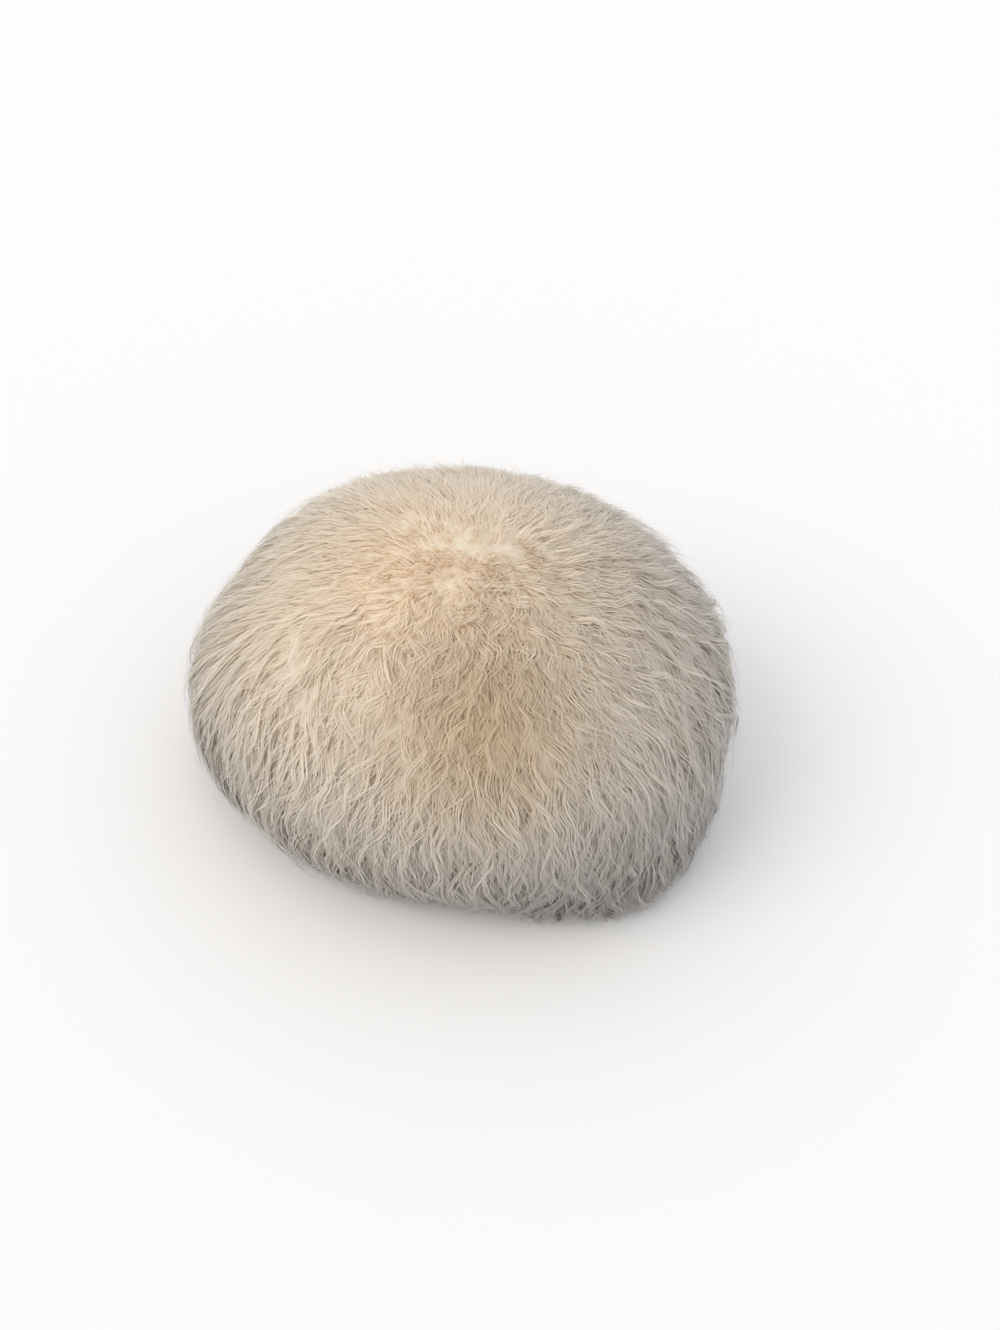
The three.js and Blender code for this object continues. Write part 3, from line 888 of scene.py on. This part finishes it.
# %% Sew the seams
ON_SUEDE = HIDE + 0.1 * MM
NAPE_FROM, NAPE_SHORT_OF_TOP = 6 * MM, 4 * MM
inner = hide_ring(BAND_BOW + ON_SUEDE, band_high.z)
inner = np.vstack([inner, inner[:1]])
seam_length = np.linalg.norm(np.diff(inner, axis=0), axis=1).sum()
stitch_places = np.linspace(0, COLUMNS, round(seam_length / STITCH_STEP), endpoint=False)
round_middles = np.stack([np.interp(stitch_places, np.arange(COLUMNS + 1), inner[:, i])
                          for i in range(3)], -1)
inward = unit(np.array([*axis, band_high.z]) - round_middles)
round_across = unit(np.array([0, 0, 1]) + 0.5 * np.cross(inward, (0, 0, 1)))
sew("crown_seam_thread", round_middles, round_across, inward)

nape_heights = np.arange(NAPE_FROM, band_high.z - NAPE_SHORT_OF_TOP, STITCH_STEP)
nape_share = 1 - (band_inset(nape_heights) + ON_SUEDE) / band_reach
nape_middles = np.stack([np.full(len(nape_heights), axis[0]), axis[1] + band_half[1] * nape_share,
                         nape_heights], -1)
nape_across = np.tile(unit(np.array([1.0, 0, 0.5])), (len(nape_heights), 1))
nape_inward = np.tile([0, -1.0, 0], (len(nape_heights), 1))
sew("nape_seam_thread", nape_middles, nape_across, nape_inward)

# %% [markdown]
# ## The underwool
#
# Between the locks one sees no skin but more wool: the short dense undercoat. It is one soft body
# for each skin that fills the fleece to about 5 mm below the outside. It stops light from falling
# through and stands in for the thousands of fibres that no picture would show. Its lumps could
# be sculpted, but two products of sines are enough for something seen only in gaps.

# %% Build the underwool
UNDERWOOL_SINK = 4.5 * MM
HEM_TUCK = 3 * MM
BASE = 4 * MM
PARTING = 0.60
TUFT = 1.6 * MM
HEM_TUCK_START = 0.85
CROWN_RINGS, BAND_RINGS = 50, 36
NEAR_CROWN, NEAR_BAND = 1 * MM, 0.5 * MM
CROWN_TURN = 14 * MM
MIDDLE_FAN = 50 * MM
OVERHANG = 16 * MM


def tufts(down):
    """Soft lumps of the underwool on one ring, as distances outwards."""
    angle = turns_round * TURN
    lumps = (np.sin(angle * 23 + 9 * np.sin(down * 31)) * np.sin(down * 83 + 3 * np.sin(angle * 7)) +
             0.6 * np.sin(angle * 41 - down * 57) * np.sin(down * 131 + angle * 13))
    return TUFT * lumps * min(1, down * 6)


def underwool_rings(start, stop, count):
    """Rings of the underwool's outside, from one share down the wool to another."""
    rings = []
    for down in np.linspace(start, stop, count):
        tuck = HEM_TUCK * fade((down - HEM_TUCK_START) / (1 - HEM_TUCK_START))
        ring = wool_point(np.full(COLUMNS, down), turns_round, tufts(down) - UNDERWOOL_SINK - tuck)
        rings.append(np.maximum(ring, [-math.inf, -math.inf, BASE]))
    return rings


# Inside, out of sight, each body follows the hide within about a millimetre: over the crown from
# its seam to its middle, and in under the fleece and up the band.
over_crown = [hide_ring(BAND_BOW - NEAR_CROWN, band_high.z),
              hide_ring(BAND_BOW + NEAR_CROWN, band_high.z + CROWN_TURN),
              hide_ring(BAND_BOW + CROWN_TURN, edge_top - NEAR_CROWN),
              hide_ring(MIDDLE_FAN, edge_top + NEAR_CROWN)]
beside_band = [hide_ring(-OVERHANG, BASE + NEAR_CROWN), hide_ring(-NEAR_BAND, BASE),
               hide_ring(-NEAR_BAND, band_high.z)]
underwool_crown = ring_mesh("underwool_crown",
                            [*underwool_rings(0.01, PARTING, CROWN_RINGS), *over_crown],
                            underwool, first_fan=True, last_fan=True)
underwool_band = ring_mesh("underwool_band", [*underwool_rings(PARTING, 1.0, BAND_RINGS), *beside_band],
                           underwool, closed=True)
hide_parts("wool_crown")
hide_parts("wool_band")

# %% [markdown]
# ## The fleece
#
# The fleece is grown as four pieces, each of a size that is easy to handle, and each overlaps the
# next, so no gap shows between them. Two belong to the crown's skin and two to the band's. Below
# the top, thin strands lie loosely over the locks, as the longest wool does, and loose pairs of
# fibres lie a little deeper and fill the gaps.

# %% Grow the locks of the crown and the band
STRANDS = {"crest": 3.5 * MM, "stand": -4 * MM, "width": -4.5 * MM, "thickness": -2.5 * MM,
           "wave": 1 * MM, "gather": 0.1, "lean": 0.06, "ribbon": -0.08 * MM}
LOOSE_PAIRS = {"crest": -3 * MM, "gather": -0.6, "width": -6 * MM}
FLEECE = {
    "crown_top_wool": {"slot": "crown_wool", "roots": (0.0, 0.34), "locks": 1800, "fibres": 15,
                       "strands": 0, "loose": 0, "steps": 5},
    "crown_shoulder_wool": {"slot": "crown_wool", "roots": (0.24, 0.56), "locks": 950, "fibres": 12,
                            "strands": 240, "loose": 900, "steps": STEPS},
    "band_side_wool": {"slot": "band_wool", "roots": (0.50, 0.80), "locks": 850, "fibres": 12,
                       "strands": 350, "loose": 1300, "steps": STEPS},
    "band_hem_wool": {"slot": "band_wool", "roots": (0.74, 0.96), "locks": 850, "fibres": 12,
                      "strands": 350, "loose": 1300, "steps": STEPS},
}


def fleece(name, slot, roots, locks, fibres, strands, loose, steps):
    """One stretch of the fleece as a piece: locks, thin strands over them and loose pairs between."""
    sets = [lock_ribbons(lock_guides(roots, locks), fibres, steps)]
    if strands:
        sets.append(lock_ribbons(lock_guides(roots, strands, unruly=0.6, **STRANDS), 7, steps))
    if loose:
        sets.append(lock_ribbons(lock_guides(roots, loose, unruly=3.0, **LOOSE_PAIRS), 2, steps))
    return ribbon_mesh(name, sets, wool)


for name, stretch in FLEECE.items():
    fleece(name, **stretch)

# %% [markdown]
# ## The wool under the rim
#
# Turned over, the hat shows the wool that grows at the very edge of the skin and lies flat between
# the table and the fleece. It is a short fringe from the rim outwards to the hem, all of it within
# the last few millimetres above the floor. Its ribbons are twice as wide as the others, because it
# is seen only when the hat is picked up.

# %% Grow the fringe under the rim
RIM_LOCKS, RIM_FIBRES, RIM_STEPS = 590, 7, 5
RIM_WOOL = {"length": 20 * MM, "gather": 0.5, "thickness": 0.5 * MM, "ribbon": 1.1 * MM}
RIM_STARTS, RIM_SPAN, RIM_END = (-0.1, 0.78), 0.36, 1.1
RIM_LIFT, RIM_DEPTH = 0.3 * MM, 3 * MM
RIM_ROOT, RIM_HEM = 0.9, 0.985


def rim_guides(locks):
    """Guides that run outwards under the wool, from the hide's rim to the hem."""
    along = np.linspace(0, 1, GUIDE_STEPS)[None, :]
    root_turn = rng.uniform(0, 1, (locks, 1))
    turns = root_turn + 0.004 * np.sin(along * 3.5 + 9 * np.sin(root_turn * TURN * 5))
    angle = turns * TURN
    rim = np.stack([axis[0] + np.sin(angle) * band_half[0], axis[1] - np.cos(angle) * band_half[1],
                    np.zeros(angle.shape)], -1)
    hem = wool_point(np.full(angle.shape, RIM_HEM), turns, 0.0)
    share = (rng.uniform(*RIM_STARTS, (locks, 1)) + RIM_SPAN * along)[..., None]
    points = rim + (hem - rim) * np.clip(share, 0, RIM_END)
    points[..., 2] = FLOOR_CLEAR + RIM_LIFT + rng.uniform(0, RIM_DEPTH, (locks, 1))
    flow = unit(np.gradient(points, axis=1) + 1e-9)
    out = np.broadcast_to(np.array([0.0, 0.0, -1.0]), points.shape)
    rows = growth(RIM_ROOT) | RIM_WOOL
    grown = {key: np.full((locks, 1), value) for key, value in rows.items()}
    return points, flow, out, np.cross(flow, out), grown


rim_ribbons = lock_ribbons(rim_guides(RIM_LOCKS), RIM_FIBRES, RIM_STEPS)
ribbon_mesh("rim_wool", [rim_ribbons], wool)

# %% [markdown]
# ## Stray wool
#
# No fleece has a clean edge. Single fibres stand off it all over, too thin to see against the
# wool but plain against the light, and they blur its outline. They are thinner ribbons that grow
# one by one and end a little further out.

# %% Grow the stray wool
STRAYS, STRAY_STEPS = 6500, 6
STRAY_WOOL = {"crest": 4 * MM, "lean": 0.2, "ribbon": -0.3 * MM}
STRAY_PIECES = {"crown_stray_wool": ("crown_wool", (0.0, 0.55)),
                "band_stray_wool": ("band_wool", (0.5, 0.97))}

for name, (slot, roots) in STRAY_PIECES.items():
    stray_guides = lock_guides(roots, STRAYS, unruly=3.0, **STRAY_WOOL)
    ribbon_mesh(name, [lock_ribbons(stray_guides, 1, STRAY_STEPS)], wool)
